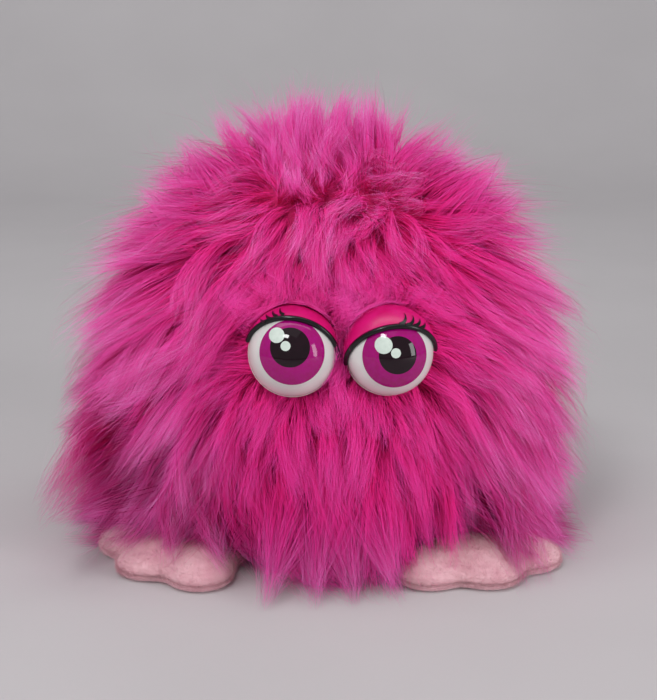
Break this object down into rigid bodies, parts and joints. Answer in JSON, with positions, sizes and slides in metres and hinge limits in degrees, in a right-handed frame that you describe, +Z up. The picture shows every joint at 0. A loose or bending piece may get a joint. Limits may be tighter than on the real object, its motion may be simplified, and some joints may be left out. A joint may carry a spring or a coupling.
{
  "type": "moving mouth hand puppet",
  "caption": "Round long-pile hand puppet with glossy plastic eyes, plush feet and a mouth that opens by lifting the head and dropping the jaw.",
  "frame": {"origin": "middle of the base panel's underside, on the surface that the puppet sits on", "axes": "+Z up, the face looks along -Y, +X to the viewer's right"},
  "size_m": [0.204, 0.181, 0.188],
  "materials": {
    "fur": "long silky pile",
    "stuffing": "white polyester fibre",
    "lining": "thin woven polyester",
    "palate": "matt felt",
    "mouth_plate": "stiff sheet",
    "base_fabric": "short knitted plush",
    "hem": "ribbed binding over elastic",
    "foot_plush": "short pile plush",
    "eye_white": "polished",
    "eye_iris": "polished print",
    "eye_pupil": "polished print",
    "eye_dot": "polished print",
    "eyelid": "polished",
    "lash": "polished",
    "washer": "moulded"
  },
  "bodies": {
    "body": {"base_panel": "base_fabric", "base_pellet_pad": "base_fabric", "back_fur_panel": "fur", "nape_fur_fold": "fur", "chin_fur_fringe": "fur", "back_stuffing": "stuffing", "hand_sleeve_lining": "lining", "hand_opening_hem": "hem", "mouth_hinge_fold": "lining", "left_side_fur_panel": "fur", "left_side_stuffing": "stuffing", "left_foot_seam": "foot_plush", "right_side_fur_panel": "fur", "right_side_stuffing": "stuffing", "right_foot_seam": "foot_plush"},
    "head": {"head_fur_panel": "fur", "head_stuffing": "stuffing", "finger_pocket": "lining", "upper_palate_lining": "palate", "upper_mouth_plate": "mouth_plate", "left_eyeball": "eye_white", "left_iris": "eye_iris", "left_pupil": "eye_pupil", "left_catchlights": "eye_dot", "left_eyelid": "eyelid", "left_lash_line": "lash", "left_eye_washer": "washer", "right_eyeball": "eye_white", "right_iris": "eye_iris", "right_pupil": "eye_pupil", "right_catchlights": "eye_dot", "right_eyelid": "eyelid", "right_lash_line": "lash", "right_eye_washer": "washer"},
    "jaw": {"chin_fur_panel": "fur", "chin_stuffing": "stuffing", "thumb_pocket": "lining", "lower_palate_lining": "palate", "lower_mouth_plate": "mouth_plate"},
    "left_foot": {"left_foot_upper": "foot_plush", "left_foot_sole": "foot_plush", "left_foot_stuffing": "stuffing"},
    "right_foot": {"right_foot_upper": "foot_plush", "right_foot_sole": "foot_plush", "right_foot_stuffing": "stuffing"}
  },
  "joints": [
    {"name": "head_lift", "type": "hinge", "parent": "body", "child": "head", "pos_m": [0, 0.022, 0.057], "axis": [-1, 0, 0], "range_deg": [0, 25], "deforming": ["nape_fur_fold"]},
    {"name": "jaw_drop", "type": "hinge", "parent": "body", "child": "jaw", "pos_m": [0, 0.022, 0.057], "axis": [1, 0, 0], "range_deg": [0, 10], "stiffness_Nm_per_rad": 0.1, "springref_deg": -11.46, "deforming": ["chin_fur_fringe"]},
    {"name": "left_foot_flap", "type": "hinge", "parent": "body", "child": "left_foot", "pos_m": [-0.042, -0.038, 0.0011], "axis": [-0.6691, 0.7431, 0], "range_deg": [0, 16]},
    {"name": "right_foot_flap", "type": "hinge", "parent": "body", "child": "right_foot", "pos_m": [0.0493, -0.0398, 0.0011], "axis": [-0.9397, -0.342, 0], "range_deg": [0, 16]}
  ]
}
